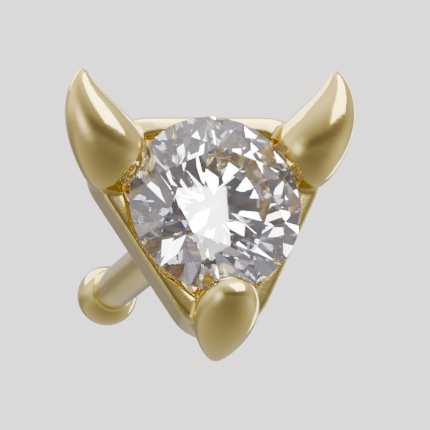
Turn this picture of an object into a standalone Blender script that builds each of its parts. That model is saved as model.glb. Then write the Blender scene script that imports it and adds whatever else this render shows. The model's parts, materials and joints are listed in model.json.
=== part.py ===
"""A nose stud: a round brilliant in a three-claw setting with two horns, soldered to a straight post.

The stud stands as it is worn. Its face looks along -Y and +Z is up. The origin is on the flat back of
the setting, where the post enters the skin. Everything is first modelled face up, with height along the
stone's axis, and one empty then turns it to face forward.
"""

import math
from collections import namedtuple

import bmesh
import bpy
from mathutils import Matrix, Vector

MM = 0.001

# Stone
STONE_DIAMETER = 3.0 * MM
TABLE_DIAMETER = 1.7 * MM
GIRDLE_THICKNESS = 0.09 * MM
CROWN_ANGLE = math.radians(34.5)
PAVILION_ANGLE = math.radians(40.8)
STAR_SHARE = 0.5  # how far a star facet reaches from the table's edge to the girdle
LOWER_SHARE = 0.77  # how far a lower girdle facet reaches from the girdle to the culet
CUT_FOLD = 8  # a brilliant repeats its facets eight times round
GIRDLE_SIDES = 64
FACET_SNAP = 1e-5 * MM

# Clearances
SEAT_GAP = 0.03 * MM  # between the stone and the metal that holds it
CULET_CLEARANCE = 0.15 * MM  # between the stone's point and the base

# Base and post, turned as one
POST_DIAMETER = 0.8 * MM
POST_LENGTH = 6.6 * MM  # from the back of the base to the end of the ball
BALL_OVERHANG = 0.22 * MM  # how far the ball stands out round the post
BASE_OVERHANG = 0.5 * MM  # how far the base stands out round the post
BASE_THICKNESS = 0.35 * MM
BASE_EDGE_RADIUS = 0.1 * MM
TURNED_SIDES = 32
ARC_STEPS = 4  # edges in a turned quarter circle
AXIS_MERGE = 1e-4 * MM

# Collar: the rounded triangle of wall under the girdle
COLLAR_OVERHANG = 0.06 * MM  # how far its straight sides stand outside the stone
COLLAR_CORNER_OVERREACH = 0.66 * MM  # how far its corners stand outside the stone
COLLAR_TAPER = 0.12 * MM  # how far its back rim draws in
COLLAR_HEIGHT = 0.9 * MM
COLLAR_DROP = 0.08 * MM  # from the girdle's back edge to the front rim
COLLAR_WALL = 0.34 * MM
COLLAR_EDGE_BEVEL = 0.05 * MM
CORNER_STEPS = 10

# Struts, from the base to the corners of the collar
STRUT_FOOT_WIDTH = 0.6 * MM
STRUT_HEAD_WIDTH = 0.85 * MM
STRUT_FOOT_REACH = 0.42 * MM  # from the stone's axis
STRUT_HEAD_OVERREACH = 0.15 * MM  # from the stone's edge
STRUT_HEAD_DROP = 0.4 * MM  # from the middle of the girdle
STRUT_SIDES = 24

# Claws
CLAW_SIDES = 10
HORN_WIDTH = 1.34 * MM
HORN_DEPTH = 1.3 * MM
HORN_OVERREACH = 1.54 * MM  # from the stone's edge out to a horn's tip
HORN_SWEEP = 0.82 * MM  # how far its tip leans towards the top of the stud
HORN_RISE = 0.4 * MM  # from the middle of the girdle forward to its tip
CHIN_WIDTH = 1.2 * MM
CHIN_DEPTH = 0.98 * MM
CHIN_OVERREACH = 1.02 * MM
CHIN_DROP = 0.85 * MM  # from the middle of the girdle back to the tip

# The corners of the collar, as angles seen from the front
RIGHT_CORNER, LEFT_CORNER, BOTTOM_CORNER = map(math.radians, (30, 150, 270))
CORNER_HALF_TURN = math.radians(60)

# A claw's sections. Reach, sweep and rise are shares of the way to its tip, from the stone's edge,
# from its corner and from the middle of the girdle. Depth and width are shares of the claw's own.
ClawSection = namedtuple("ClawSection", "reach sweep rise depth width")
HORN_SECTIONS = (
    ClawSection(0.12, -0.20, -1.60, 0.50, 0.62),
    ClawSection(0.17, -0.20, -0.85, 0.88, 0.92),
    ClawSection(0.26, -0.12, 0.00, 1.05, 1.00),
    ClawSection(0.54, 0.08, 0.42, 0.84, 0.90),
    ClawSection(0.79, 0.38, 0.72, 0.56, 0.66),
    ClawSection(0.94, 0.72, 0.90, 0.30, 0.35),
    ClawSection(1.00, 1.00, 1.00, 0.09, 0.09),
)
CHIN_SECTIONS = (
    ClawSection(0.00, 0.0, 0.78, 0.35, 0.40),
    ClawSection(0.10, 0.0, 0.52, 0.76, 0.80),
    ClawSection(0.28, 0.0, 0.16, 1.00, 1.00),
    ClawSection(0.52, 0.0, -0.26, 0.92, 0.94),
    ClawSection(0.74, 0.0, -0.60, 0.66, 0.68),
    ClawSection(0.92, 0.0, -0.87, 0.34, 0.36),
    ClawSection(1.00, 0.0, -1.00, 0.12, 0.12),
)

# The three claws, each with the place of its tip and its own thickness
Claw = namedtuple("Claw", "name corner sections overreach sweep rise depth width")
HORN = (HORN_RISE, HORN_DEPTH, HORN_WIDTH)
CLAWS = (
    Claw("left_horn", LEFT_CORNER, HORN_SECTIONS, HORN_OVERREACH, -HORN_SWEEP, *HORN),
    Claw("right_horn", RIGHT_CORNER, HORN_SECTIONS, HORN_OVERREACH, HORN_SWEEP, *HORN),
    Claw("chin", BOTTOM_CORNER, CHIN_SECTIONS, CHIN_OVERREACH, 0, CHIN_DROP, CHIN_DEPTH, CHIN_WIDTH),
)

STONE_COLOUR = (0.95, 0.96, 1.0, 1.0)
GOLD_COLOUR = (0.83, 0.66, 0.27, 1.0)

# Radii, and heights along the stone's axis from the flat back of the base
stone_radius = STONE_DIAMETER / 2
table_radius = TABLE_DIAMETER / 2
post_radius = POST_DIAMETER / 2
ball_radius = post_radius + BALL_OVERHANG
base_radius = post_radius + BASE_OVERHANG
culet_height = BASE_THICKNESS + CULET_CLEARANCE
girdle_bottom = culet_height + stone_radius * math.tan(PAVILION_ANGLE)
girdle_top = girdle_bottom + GIRDLE_THICKNESS
girdle_middle = (girdle_bottom + girdle_top) / 2
table_height = girdle_top + (stone_radius - table_radius) * math.tan(CROWN_ANGLE)


def clear_scene():
    for obj in list(bpy.data.objects):
        bpy.data.objects.remove(obj, do_unlink=True)


def new_collection(name):
    collection = bpy.data.collections.new(name)
    bpy.context.scene.collection.children.link(collection)
    return collection


def new_material(name, colour, roughness, metallic, transmission=0.0):
    material = bpy.data.materials.new(name)
    material.use_nodes = True
    shader = material.node_tree.nodes["Principled BSDF"]
    shader.inputs["Base Color"].default_value = colour
    shader.inputs["Roughness"].default_value = roughness
    shader.inputs["Metallic"].default_value = metallic
    shader.inputs["Transmission Weight"].default_value = transmission
    return material


def object_from(bm, name, collection, parent, smooth=False):
    mesh = bpy.data.meshes.new(name)
    for face in bm.faces:
        face.smooth = smooth
    bm.to_mesh(mesh)
    bm.free()
    obj = bpy.data.objects.new(name, mesh)
    obj.parent = parent
    collection.objects.link(obj)
    return obj


def polar(radius, angle, height):
    return Vector((radius * math.cos(angle), radius * math.sin(angle), height))


def between(start, end, share):
    return start + (end - start) * share


def facet_corners():
    """The named meet points of one eighth of the brilliant, as (radius, angle, height)."""
    step = math.tau / CUT_FOLD
    half = step / 2
    star_start = table_radius * math.cos(half)
    star_reach = between(star_start, stone_radius, STAR_SHARE)
    star_fall = (star_reach * math.cos(half) - table_radius) * math.tan(CROWN_ANGLE)
    lower_reach = stone_radius * (1 - LOWER_SHARE)
    lower_rise = lower_reach * math.cos(half) * math.tan(PAVILION_ANGLE)
    return {
        "table": (table_radius, 0, table_height),
        "next_table": (table_radius, step, table_height),
        "star": (star_reach, half, table_height - star_fall),
        "girdle": (stone_radius, 0, girdle_top),
        "mid_girdle": (stone_radius, half, girdle_top),
        "next_girdle": (stone_radius, step, girdle_top),
        "keel": (stone_radius, 0, girdle_bottom),
        "mid_keel": (stone_radius, half, girdle_bottom),
        "next_keel": (stone_radius, step, girdle_bottom),
        "lower": (lower_reach, half, culet_height + lower_rise),
        "culet": (0, 0, culet_height),
    }


# Three corners give each facet's plane
FACETS = (
    ("table", "star", "girdle"),
    ("table", "next_table", "star"),
    ("star", "girdle", "mid_girdle"),
    ("star", "mid_girdle", "next_girdle"),
    ("culet", "lower", "keel"),
    ("lower", "keel", "mid_keel"),
    ("lower", "mid_keel", "next_keel"),
)


def cut_facet(bm, corners):
    """Cuts off what lies outside the plane through three corners, and closes the cut with one facet."""
    first, second, third = corners
    normal = (second - first).cross(third - first).normalized()
    if normal.dot(first - Vector((0, 0, girdle_middle))) < 0:
        normal.negate()
    everything = bm.verts[:] + bm.edges[:] + bm.faces[:]
    bmesh.ops.bisect_plane(
        bm, geom=everything, dist=FACET_SNAP, plane_co=first, plane_no=normal, clear_outer=True
    )
    rim = [edge for edge in bm.edges if edge.is_boundary]
    if rim:
        bmesh.ops.contextual_create(bm, geom=rim)


def brilliant(collection, parent):
    """The stone, cut facet by facet from a cylinder as tall as the finished stone."""
    bm = bmesh.new()
    bmesh.ops.create_cone(
        bm,
        cap_ends=True,
        segments=GIRDLE_SIDES,
        radius1=stone_radius,
        radius2=stone_radius,
        depth=table_height - culet_height,
        matrix=Matrix.Translation((0, 0, (culet_height + table_height) / 2)),
    )
    meet_points = facet_corners()
    for eighth in range(CUT_FOLD):
        turn = Matrix.Rotation(eighth * math.tau / CUT_FOLD, 3, "Z")
        for facet in FACETS:
            cut_facet(bm, [turn @ polar(*meet_points[corner]) for corner in facet])
    bmesh.ops.remove_doubles(bm, verts=bm.verts[:], dist=FACET_SNAP)
    bmesh.ops.recalc_face_normals(bm, faces=bm.faces[:])
    return object_from(bm, "stone", collection, parent)


def turned(name, profile, collection, parent):
    """A solid turned from a profile of (radius, height) points, listed from its top down to its bottom."""
    bm = bmesh.new()
    points = [bm.verts.new((radius, 0, height)) for radius, height in profile]
    for upper, lower in zip(points, points[1:]):
        bm.edges.new((upper, lower))
    obj = object_from(bm, name, collection, parent)
    screw = obj.modifiers.new("Turn", "SCREW")
    screw.steps = screw.render_steps = TURNED_SIDES
    screw.use_merge_vertices = True
    screw.merge_threshold = AXIS_MERGE
    return obj


def arc(centre_radius, centre_height, radius, start, end):
    """Points of a turned arc, from angle start to angle end in degrees, in the profile's plane."""
    steps = max(2, round(ARC_STEPS * abs(end - start) / 90))
    angles = [math.radians(between(start, end, step / steps)) for step in range(steps + 1)]
    return [
        (centre_radius + radius * math.cos(a), centre_height + radius * math.sin(a)) for a in angles
    ]


def base_and_post(collection, parent):
    """The disc that bears on the skin, the post behind it and the ball that keeps it in."""
    neck = math.degrees(math.acos(post_radius / ball_radius))
    edge_height = BASE_THICKNESS - BASE_EDGE_RADIUS
    profile = [(0, BASE_THICKNESS)]
    profile += arc(base_radius - BASE_EDGE_RADIUS, edge_height, BASE_EDGE_RADIUS, 90, 0)
    profile += [(base_radius, 0), (post_radius, 0)]
    profile += arc(0, ball_radius - POST_LENGTH, ball_radius, neck, -90)[:-1]
    profile += [(0, -POST_LENGTH)]
    return turned("base_and_post", profile, collection, parent)


def grown_profile(profile, gap):
    """A turned profile with every edge moved outwards by the gap; its two ends stay on the axis."""
    edges = [Vector(b) - Vector(a) for a, b in zip(profile, profile[1:])]
    normals = [Vector((-edge.y, edge.x)).normalized() for edge in edges]
    mirrored = Vector((-normals[-1].x, normals[-1].y))
    grown = []
    for point, before, after in zip(profile, [normals[0]] + normals, normals + [mirrored]):
        mitre = (before + after) / (1 + before.dot(after))
        grown.append(Vector(point) + mitre * gap)
    return grown


def seat_bur(collection, parent):
    """The cutter that opens the stone's seat: the stone's outline turned, with the gap all round."""
    points = facet_corners()
    corners = ("table", "star", "mid_girdle", "mid_keel", "lower", "culet")
    outline = [(0, table_height)] + [(points[corner][0], points[corner][2]) for corner in corners]
    return turned("seat_bur", grown_profile(outline, SEAT_GAP), collection, parent)


def rounded_triangle(side_distance, height):
    """An outline with its sides side_distance from the axis and its corners all at the same reach."""
    corner_reach = stone_radius + COLLAR_CORNER_OVERREACH
    centre_distance = (corner_reach - side_distance) / (1 - math.cos(CORNER_HALF_TURN))
    corner_radius = corner_reach - centre_distance
    points = []
    for corner in (RIGHT_CORNER, LEFT_CORNER, BOTTOM_CORNER):
        for step in range(CORNER_STEPS + 1):
            angle = corner + CORNER_HALF_TURN * (2 * step / CORNER_STEPS - 1)
            points.append(polar(centre_distance, corner, height) + polar(corner_radius, angle, 0))
    return points


def drawn_in(outline, side_distance, wall):
    """The outline shrunk towards the axis, so that its sides move in by the wall."""
    share = 1 - wall / side_distance
    return [Vector((point.x * share, point.y * share, point.z)) for point in outline]


def bridge(bm, first, second):
    """Faces between two closed loops of as many points."""
    for this in range(len(first)):
        that = (this + 1) % len(first)
        bm.faces.new((first[this], first[that], second[that], second[this]))


def collar(collection, parent):
    """The band of wall under the girdle, lofted between its outer and inner outlines."""
    front_side = stone_radius + COLLAR_OVERHANG
    back_side = front_side - COLLAR_TAPER
    front = rounded_triangle(front_side, girdle_bottom - COLLAR_DROP)
    back = rounded_triangle(back_side, girdle_bottom - COLLAR_DROP - COLLAR_HEIGHT)
    inner_front = drawn_in(front, front_side, COLLAR_WALL)
    inner_back = drawn_in(back, back_side, COLLAR_WALL)
    bm = bmesh.new()
    loops = [[bm.verts.new(p) for p in outline] for outline in (back, front, inner_front, inner_back)]
    for first, second in zip(loops, loops[1:] + loops[:1]):
        bridge(bm, first, second)
    bmesh.ops.recalc_face_normals(bm, faces=bm.faces[:])
    obj = object_from(bm, "collar", collection, parent, smooth=True)
    bevel = obj.modifiers.new("Soft rims", "BEVEL")
    bevel.width = COLLAR_EDGE_BEVEL
    bevel.segments = 2
    bevel.limit_method = "ANGLE"
    bevel.angle_limit = math.radians(40)
    return obj


def claw(shape, collection, parent):
    """One claw: oval sections square to their path, lofted and softened by subdivision."""
    out, side = polar(1, shape.corner, 0), polar(1, shape.corner + math.pi / 2, 0)
    centres = []
    for row in shape.sections:
        centre = out * (stone_radius + row.reach * shape.overreach) + side * (row.sweep * shape.sweep)
        centre.z = girdle_middle + row.rise * shape.rise
        centres.append(centre)
    bm = bmesh.new()
    rings = []
    for index, row in enumerate(shape.sections):
        before = centres[max(index - 1, 0)]
        after = centres[min(index + 1, len(centres) - 1)]
        along = (after - before).normalized()
        across = (side - along * side.dot(along)).normalized()
        half_width = across * (row.width * shape.width / 2)
        half_depth = across.cross(along) * (row.depth * shape.depth / 2)
        angles = [math.tau * step / CLAW_SIDES for step in range(CLAW_SIDES)]
        oval = [centres[index] + half_depth * math.cos(a) + half_width * math.sin(a) for a in angles]
        rings.append([bm.verts.new(point) for point in oval])
    for first, second in zip(rings, rings[1:]):
        bridge(bm, first, second)
    bm.faces.new(rings[0])
    bm.faces.new(rings[-1])
    bmesh.ops.recalc_face_normals(bm, faces=bm.faces[:])
    obj = object_from(bm, shape.name, collection, parent, smooth=True)
    soften = obj.modifiers.new("Soften", "SUBSURF")
    soften.levels = soften.render_levels = 2
    return obj


def strut(name, corner, collection, parent):
    """The arm that carries one corner of the collar: a cone with level ends, sheared outwards."""
    foot_height = BASE_THICKNESS / 2
    height = girdle_middle - STRUT_HEAD_DROP - foot_height
    run = stone_radius + STRUT_HEAD_OVERREACH - STRUT_FOOT_REACH
    turn = Matrix.Rotation(corner, 4, "Z")
    shift = Matrix.Translation((STRUT_FOOT_REACH + run / 2, 0, foot_height + height / 2))
    shear = Matrix.Shear("XY", 4, (run / height, 0))
    bm = bmesh.new()
    bmesh.ops.create_cone(
        bm,
        cap_ends=True,
        segments=STRUT_SIDES,
        radius1=STRUT_FOOT_WIDTH / 2,
        radius2=STRUT_HEAD_WIDTH / 2,
        depth=height,
        matrix=turn @ shift @ shear,
    )
    return object_from(bm, name, collection, parent, smooth=True)


def combine(obj, other, operation):
    """Adds a Boolean with a helper, which is then hidden from renders."""
    boolean = obj.modifiers.new(f"{operation.title()} {other.name}", "BOOLEAN")
    boolean.operation = operation
    boolean.solver = "EXACT"
    boolean.object = other
    other.hide_render = True
    other.display_type = "WIRE"


def setting_and_post(collection, helpers, parent):
    """All of the gold: base, post, collar and claws soldered into one solid, with the seat cut last."""
    metal = base_and_post(collection, parent)
    metal.name = metal.data.name = "setting_and_post"
    for shape in CLAWS:
        combine(metal, strut(shape.name + "_strut", shape.corner, helpers, parent), "UNION")
    combine(metal, collar(helpers, parent), "UNION")
    for shape in CLAWS:
        combine(metal, claw(shape, helpers, parent), "UNION")
    combine(metal, seat_bur(helpers, parent), "DIFFERENCE")
    metal.modifiers.new("Even shading", "WEIGHTED_NORMAL")
    metal.data.materials.append(new_material("gold", GOLD_COLOUR, 0.15, 1.0))
    return metal


def main():
    clear_scene()
    stud = new_collection("nose_stud")
    helpers = new_collection("helpers")
    facing = bpy.data.objects.new("facing", None)
    facing.rotation_euler = (math.radians(90), 0, 0)
    stud.objects.link(facing)
    setting_and_post(stud, helpers, facing)
    stone = brilliant(stud, facing)
    stone.data.materials.append(new_material("clear_stone", STONE_COLOUR, 0.0, 0.0, 1.0))


main()
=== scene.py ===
"""Looks for the nose stud: polished cast gold and a cut stone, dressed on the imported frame."""

import json
import math

import bmesh
import bpy
from mathutils import Matrix, Vector

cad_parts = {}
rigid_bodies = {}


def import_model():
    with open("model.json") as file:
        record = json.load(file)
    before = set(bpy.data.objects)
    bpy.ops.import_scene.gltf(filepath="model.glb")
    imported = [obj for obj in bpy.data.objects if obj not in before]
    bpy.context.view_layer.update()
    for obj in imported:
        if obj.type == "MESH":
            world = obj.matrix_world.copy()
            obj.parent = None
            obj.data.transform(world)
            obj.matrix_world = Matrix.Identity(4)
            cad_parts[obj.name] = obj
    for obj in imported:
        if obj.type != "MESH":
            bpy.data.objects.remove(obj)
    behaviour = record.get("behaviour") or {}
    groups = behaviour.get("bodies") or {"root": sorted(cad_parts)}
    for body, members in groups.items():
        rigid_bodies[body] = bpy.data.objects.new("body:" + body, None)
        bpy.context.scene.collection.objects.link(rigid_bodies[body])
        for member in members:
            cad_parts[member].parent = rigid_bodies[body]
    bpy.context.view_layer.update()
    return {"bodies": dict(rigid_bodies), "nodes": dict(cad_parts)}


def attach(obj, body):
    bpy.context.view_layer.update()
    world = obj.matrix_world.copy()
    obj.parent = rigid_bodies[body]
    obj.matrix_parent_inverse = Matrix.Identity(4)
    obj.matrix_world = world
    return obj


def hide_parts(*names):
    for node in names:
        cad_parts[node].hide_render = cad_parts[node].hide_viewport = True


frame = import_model()
body = next(iter(frame["bodies"]))
MM = 0.001

# Camera: the photograph's viewing angle, close to the stud
AZIMUTH, ELEVATION, ROLL = map(math.radians, (-18, -13, -5))
FRAME_WIDTH = 7.2 * MM
LENS, SENSOR = 150, 36
CLIP = (1 * MM, 2.0)
STONE_CENTRE = Vector((0, -1.84 * MM, 0))
FRAME_SHIFT = Vector((-0.02 * MM, -0.2 * MM, 0))  # from the stone's middle to the frame's

# Light, as radiance: what the camera sees, what the floor gets, and what metal and stone mirror
BACKDROP = (1.40, 1.34, 1.32, 1)
FLOOR_LIGHT = (1.73, 1.68, 1.68, 1)
ROOM_COLOUR = (0.98, 0.95, 1.0, 1)
ROOM_FRONT, ROOM_BACK = 0.30, 0.60
FRONT_Y, BACK_Y = -0.7, 0.8  # where the room's front and back brightness are reached
ROOM_HEIGHTS = (  # sine of the height, brightness
    (-1.0, 0.75),
    (-0.30, 0.95),
    (-0.10, 0.55),
    (0.08, 0.55),
    (0.25, 1.0),
    (1.0, 1.2),
)
GLOWS = (  # direction, sharpness, brightness
    ((-0.85, -0.05, 0.45), 6, 0.8),
    ((0.95, -0.10, -0.15), 6, 0.45),
    ((0.15, -0.35, 0.92), 6, 1.4),
    ((-0.78, -0.60, -0.05), 24, 1.5),
)
SEEN_THROUGH_STONE = 0.36  # share of the room's light that the stone passes on
LAMP_DISTANCE = 150 * MM
LAMPS = (  # name, direction, width and height in degrees, radiance, what it lights
    ("key", (0.44, -0.66, 0.61), 36, 44, 4.0, "gold"),
    ("front", (0.126, -0.990, 0.055), 22, 22, 20.0, "stone"),
    ("low_front", (-0.11, -0.90, -0.42), 20, 14, 5.5, "stone"),
    ("top_back", (-0.30, 0.50, 0.80), 50, 40, 2.5, "stud"),
    ("right_back", (0.80, 0.60, 0.15), 20, 60, 2.4, "stud"),
)
BOUNCES = 32  # a cut stone mirrors light many times inside before it lets it out
VIEW_TRANSFORM, CONTRAST = "AgX", "AgX - Medium High Contrast"

# Gold's shape, in mm
VOXEL = 0.033
SMOOTH_STEPS = 7
SMOOTH_FACTOR = 0.5
TURNED_SIDES = 32
BASE_FRONT, BASE_MIDDLE, BASE_RIM = -0.36, -0.17, 0.78
BALL_CENTRE, BALL_RADIUS = 5.98, 0.618
BALL_FRONT = BALL_CENTRE - 0.42

# Gold's look
GOLD_TONES = (0.80, 0.65, 0.235, 1), (0.86, 0.705, 0.275, 1)
GOLD_TONE_STOPS = 0.35, 0.65
GOLD_SHEEN = (0.3, 0.7, 0.06, 0.15)  # from and to, noise to roughness
WAVES = (1400.0, 2.0)  # a noise's scale and detail, then its roughness, stretch and turn
LINES = (9000.0, 3.0, 0.6, (1.0, 1.0, 7.0), (0.4, 0.9, 0.3))
LINE_SHARE = 0.12  # height of the lines beside the waves
BUMP_STRENGTH, BUMP_DEPTH = 0.25, 0.02 * MM

# Stone
JOIN_DISTANCE = 1e-4  # in mm
FLAT_WITHIN = math.radians(0.4)  # triangles of one facet differ by less
GIRDLE_SLANT = 0.05  # only the girdle faces this nearly sideways
STONE_IOR = 2.15
STONE_LOOKS = (  # name, colour, noise, and from and to, noise to roughness
    (
        "polished_facets",
        (0.93, 0.91, 0.99, 1),
        (4000.0, 2.0, 0.5, (1.0, 1.0, 9.0), (0.5, 0.8, 0.2)),  # marks of the polishing wheel
        (0.45, 0.75, 0.0, 0.05),
    ),
    ("ground_girdle", (0.93, 0.94, 0.97, 1), (30000.0, 2.0), (0, 1, 0.25, 0.5)),
)

# Floor
FLOOR_RADIUS, FLOOR_SIDES, FLOOR_HEIGHT = 0.45, 96, -24 * MM
FLOOR_TONES = (0.80, 0.79, 0.78, 1), (0.84, 0.83, 0.82, 1)
FLOOR_GRAIN, FLOOR_ROUGHNESS = (60.0, 4.0), 0.8


def link(obj):
    bpy.context.scene.collection.objects.link(obj)
    return obj


def mesh_object(name, bm):
    """A new object with the mesh of bm, which is used up."""
    mesh = bpy.data.meshes.new(name)
    bm.to_mesh(mesh)
    bm.free()
    return link(bpy.data.objects.new(name, mesh))


def copied(name):
    """The CAD node's mesh in millimetres, with the points that the file split joined again."""
    bm = bmesh.new()
    bm.from_mesh(frame["nodes"][name].data)
    bmesh.ops.scale(bm, vec=(1 / MM,) * 3, verts=bm.verts[:])
    bmesh.ops.remove_doubles(bm, verts=bm.verts[:], dist=JOIN_DISTANCE)
    return bm


def modify(obj, kind, **settings):
    """Gives the object the mesh that one modifier makes of it."""
    modifier = obj.modifiers.new(kind, kind)
    for key, value in settings.items():
        setattr(modifier, key, value)
    graph = bpy.context.evaluated_depsgraph_get()
    result = bpy.data.meshes.new_from_object(obj.evaluated_get(graph))
    obj.modifiers.remove(modifier)
    before, obj.data = obj.data, result
    bpy.data.meshes.remove(before)


def rounded(point):
    """Where a point of the turned base, post or ball lies once its flats are round."""
    radius = math.hypot(point.x, point.z)
    if point.y > BALL_FRONT:
        centre = Vector((0, BALL_CENTRE, 0))
        return centre + (point - centre).normalized() * BALL_RADIUS
    if point.y < BASE_MIDDLE and radius < BASE_RIM:
        return point
    step = math.tau / TURNED_SIDES
    from_middle = (math.atan2(point.z, point.x) % step) - step / 2
    scale = math.cos(from_middle) / math.cos(step / 2)
    return Vector((point.x * scale, point.y, point.z * scale))


def cast_gold():
    """The metal with the soft edges and filleted joints of a polished casting."""
    obj = mesh_object("cast_gold", copied("setting_and_post"))
    modify(obj, "REMESH", mode="VOXEL", voxel_size=VOXEL)
    for vertex in obj.data.vertices:
        if vertex.co.y > BASE_FRONT:
            vertex.co = rounded(vertex.co)
    modify(obj, "SMOOTH", factor=SMOOTH_FACTOR, iterations=SMOOTH_STEPS)
    obj.data.transform(Matrix.Scale(MM, 4))
    obj.data.shade_smooth()
    obj.data.name = "cast_gold"
    return obj


def cut_stone():
    """The stone with whole flat facets, and its girdle as a band of its own."""
    bm = copied("stone")
    bmesh.ops.dissolve_limit(
        bm, angle_limit=FLAT_WITHIN, verts=bm.verts[:], edges=bm.edges[:]
    )
    for face in bm.faces:
        face.smooth = False
        face.material_index = 1 if abs(face.normal.y) < GIRDLE_SLANT else 0
    bmesh.ops.scale(bm, vec=(MM,) * 3, verts=bm.verts[:])
    return mesh_object("cut_stone", bm)


def new_material(name, **values):
    """A new material, with the values of its shader's inputs."""
    material = bpy.data.materials.new(name)
    material.use_nodes = True
    tree = material.node_tree
    shader = tree.nodes["Principled BSDF"]
    for key, value in values.items():
        shader.inputs[key.replace("_", " ")].default_value = value
    return material, tree, shader


def node(tree, kind, **values):
    """A new node, with its settings and the values of its inputs."""
    made = tree.nodes.new(kind)
    for key, value in values.items():
        if hasattr(made, key):
            setattr(made, key, value)
        else:
            made.inputs[key.replace("_", " ")].default_value = value
    return made


def noise(tree, scale, detail, roughness=0.5, stretch=None, turn=None):
    """Noise fixed to the object, stretched into lines where asked."""
    place = node(tree, "ShaderNodeTexCoord").outputs["Object"]
    if stretch:
        mapping = node(tree, "ShaderNodeMapping", Scale=stretch, Rotation=turn)
        tree.links.new(place, mapping.inputs["Vector"])
        place = mapping.outputs["Vector"]
    made = node(tree, "ShaderNodeTexNoise", Scale=scale, Detail=detail, Roughness=roughness)
    tree.links.new(place, made.inputs["Vector"])
    return made.outputs["Fac"]


def ranged(tree, value, low, high, to_low, to_high):
    """The value, carried from one range to another."""
    made = node(
        tree, "ShaderNodeMapRange", From_Min=low, From_Max=high, To_Min=to_low, To_Max=to_high
    )
    tree.links.new(value, made.inputs["Value"])
    return made.outputs["Result"]


def toned(tree, value, tones, stops=(0, 1)):
    """A colour between two tones."""
    made = node(tree, "ShaderNodeValToRGB")
    for element, tone, stop in zip(made.color_ramp.elements, tones, stops):
        element.position = stop
        element.color = tone
    tree.links.new(value, made.inputs["Fac"])
    return made.outputs["Color"]


def gold_material():
    material, tree, shader = new_material("polished_gold", Metallic=1.0)
    wire = tree.links.new
    # soft waves left by hand polishing, and fine polishing lines
    waves = noise(tree, *WAVES)
    lines = noise(tree, *LINES)
    height = node(tree, "ShaderNodeMath", operation="MULTIPLY_ADD")
    wire(lines, height.inputs[0])
    height.inputs[1].default_value = LINE_SHARE
    wire(waves, height.inputs[2])
    bump = node(tree, "ShaderNodeBump", Strength=BUMP_STRENGTH, Distance=BUMP_DEPTH)
    wire(height.outputs[0], bump.inputs["Height"])
    wire(bump.outputs["Normal"], shader.inputs["Normal"])
    wire(ranged(tree, lines, *GOLD_SHEEN), shader.inputs["Roughness"])
    wire(toned(tree, waves, GOLD_TONES, GOLD_TONE_STOPS), shader.inputs["Base Color"])
    return material


def clear_material(name, colour, grain, roughness):
    """Clear stone, with a roughness that varies with the grain."""
    material, tree, shader = new_material(
        name, Base_Color=colour, IOR=STONE_IOR, Transmission_Weight=1.0
    )
    rough = ranged(tree, noise(tree, *grain), *roughness)
    tree.links.new(rough, shader.inputs["Roughness"])
    return material


def floor_material():
    material, tree, shader = new_material("pale_floor", Roughness=FLOOR_ROUGHNESS)
    tone = toned(tree, noise(tree, *FLOOR_GRAIN), FLOOR_TONES)
    tree.links.new(tone, shader.inputs["Base Color"])
    return material


def softbox(name, direction, width, height, radiance, lit):
    """An area light for some pieces alone, by its direction and angles from the stone."""
    lamp = bpy.data.lights.new(name, "AREA")
    lamp.shape = "RECTANGLE"
    lamp.size = 2 * LAMP_DISTANCE * math.tan(math.radians(width / 2))
    lamp.size_y = 2 * LAMP_DISTANCE * math.tan(math.radians(height / 2))
    lamp.energy = radiance * math.pi * lamp.size * lamp.size_y
    obj = link(bpy.data.objects.new(name, lamp))
    place = STONE_CENTRE + Vector(direction).normalized() * LAMP_DISTANCE
    turn = (STONE_CENTRE - place).to_track_quat("-Z", "Y").to_matrix().to_4x4()
    obj.matrix_world = Matrix.Translation(place) @ turn
    obj.visible_camera = False
    obj.light_linking.receiver_collection = lit


def glow(tree, place, direction, sharpness, brightness, others):
    """Adds a soft patch of light to the room, brightest in that direction."""
    wire = tree.links.new
    near = node(tree, "ShaderNodeVectorMath", operation="DOT_PRODUCT")
    near.inputs[1].default_value = Vector(direction).normalized()
    wire(place, near.inputs[0])
    fall = node(tree, "ShaderNodeMath", operation="MULTIPLY_ADD")
    fall.inputs[1].default_value, fall.inputs[2].default_value = sharpness, -sharpness
    wire(near.outputs["Value"], fall.inputs[0])
    lobe = node(tree, "ShaderNodeMath", operation="EXPONENT")
    wire(fall.outputs[0], lobe.inputs[0])
    added = node(tree, "ShaderNodeMath", operation="MULTIPLY_ADD")
    added.inputs[1].default_value = brightness
    wire(lobe.outputs[0], added.inputs[0])
    wire(others, added.inputs[2])
    return added.outputs[0]


def product(tree, first, second):
    made = node(tree, "ShaderNodeMath", operation="MULTIPLY")
    tree.links.new(first, made.inputs[0])
    tree.links.new(second, made.inputs[1])
    return made.outputs[0]


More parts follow.
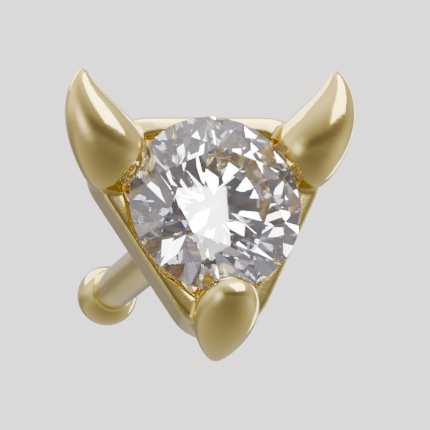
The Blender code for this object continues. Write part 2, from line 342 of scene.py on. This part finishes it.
def world():
    """A pale seamless backdrop, which the metal and the stone mirror as a dim room."""
    made = bpy.data.worlds.new("studio")
    bpy.context.scene.world = made
    made.use_nodes = True
    made.cycles.sampling_method = "NONE"  # else a kind of ray could get another's light
    tree = made.node_tree
    wire = tree.links.new
    shader = tree.nodes["Background"]
    shader.inputs["Color"].default_value = ROOM_COLOUR
    place = node(tree, "ShaderNodeTexCoord").outputs["Generated"]
    split = node(tree, "ShaderNodeSeparateXYZ")
    wire(place, split.inputs[0])
    depth = ranged(tree, split.outputs["Y"], FRONT_Y, BACK_Y, ROOM_FRONT, ROOM_BACK)
    height = node(tree, "ShaderNodeValToRGB")
    wire(ranged(tree, split.outputs["Z"], -1, 1, 0, 1), height.inputs["Fac"])
    stops = height.color_ramp.elements
    for _ in ROOM_HEIGHTS[2:]:
        stops.new(0.5)
    for stop, (sine, brightness) in zip(stops, ROOM_HEIGHTS):
        stop.position = (sine + 1) / 2
        stop.color = (brightness, brightness, brightness, 1)
    total = product(tree, depth, height.outputs["Color"])
    for direction, sharpness, brightness in GLOWS:
        total = glow(tree, place, direction, sharpness, brightness, total)
    ray = node(tree, "ShaderNodeLightPath")
    share = ranged(tree, ray.outputs["Is Transmission Ray"], 0, 1, 1, SEEN_THROUGH_STONE)
    wire(product(tree, total, share), shader.inputs["Strength"])

    for kind, colour in (("Is Diffuse Ray", FLOOR_LIGHT), ("Is Camera Ray", BACKDROP)):
        seen = node(tree, "ShaderNodeBackground", Color=colour)
        mix = node(tree, "ShaderNodeMixShader")
        wire(ray.outputs[kind], mix.inputs[0])
        wire(shader.outputs[0], mix.inputs[1])
        wire(seen.outputs[0], mix.inputs[2])
        shader = mix
    wire(shader.outputs[0], tree.nodes["World Output"].inputs["Surface"])


def camera():
    data = bpy.data.cameras.new("camera")
    data.lens, data.sensor_width = LENS, SENSOR
    data.clip_start, data.clip_end = CLIP
    obj = link(bpy.data.objects.new("camera", data))
    flat = math.cos(ELEVATION)
    back = Vector((math.sin(AZIMUTH) * flat, -math.cos(AZIMUTH) * flat, math.sin(ELEVATION)))
    distance = FRAME_WIDTH * LENS / SENSOR
    turn = (-back).to_track_quat("-Z", "Y").to_matrix().to_4x4() @ Matrix.Rotation(ROLL, 4, "Z")
    place = Matrix.Translation(STONE_CENTRE) @ turn
    obj.matrix_world = place @ Matrix.Translation(FRAME_SHIFT + Vector((0, 0, distance)))
    bpy.context.scene.camera = obj


def floor():
    """A pale floor, which the metal doesn't mirror and the stud casts no shadow on."""
    bm = bmesh.new()
    bmesh.ops.create_circle(bm, cap_ends=True, segments=FLOOR_SIDES, radius=FLOOR_RADIUS)
    obj = mesh_object("floor", bm)
    obj.location.z = FLOOR_HEIGHT
    obj.data.materials.append(floor_material())
    obj.visible_glossy = obj.visible_transmission = obj.visible_shadow = False


gold = cast_gold()
gold.data.materials.append(gold_material())
stone = cut_stone()
for settings in STONE_LOOKS:
    stone.data.materials.append(clear_material(*settings))
for piece, name, slot in ((gold, "setting_and_post", "gold"), (stone, "stone", "clear_stone")):
    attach(piece, body)
    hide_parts(name)

groups = {}
for name, pieces in (("gold", (gold,)), ("stone", (stone,)), ("stud", (gold, stone))):
    groups[name] = bpy.data.collections.new("lit_" + name)
    for piece in pieces:
        groups[name].objects.link(piece)

floor()
world()
for *settings, name in LAMPS:
    softbox(*settings, groups[name])
camera()
paths = bpy.context.scene.cycles
paths.max_bounces = paths.glossy_bounces = paths.transmission_bounces = BOUNCES
look = bpy.context.scene.view_settings
look.view_transform, look.look, look.exposure = VIEW_TRANSFORM, CONTRAST, 0.0
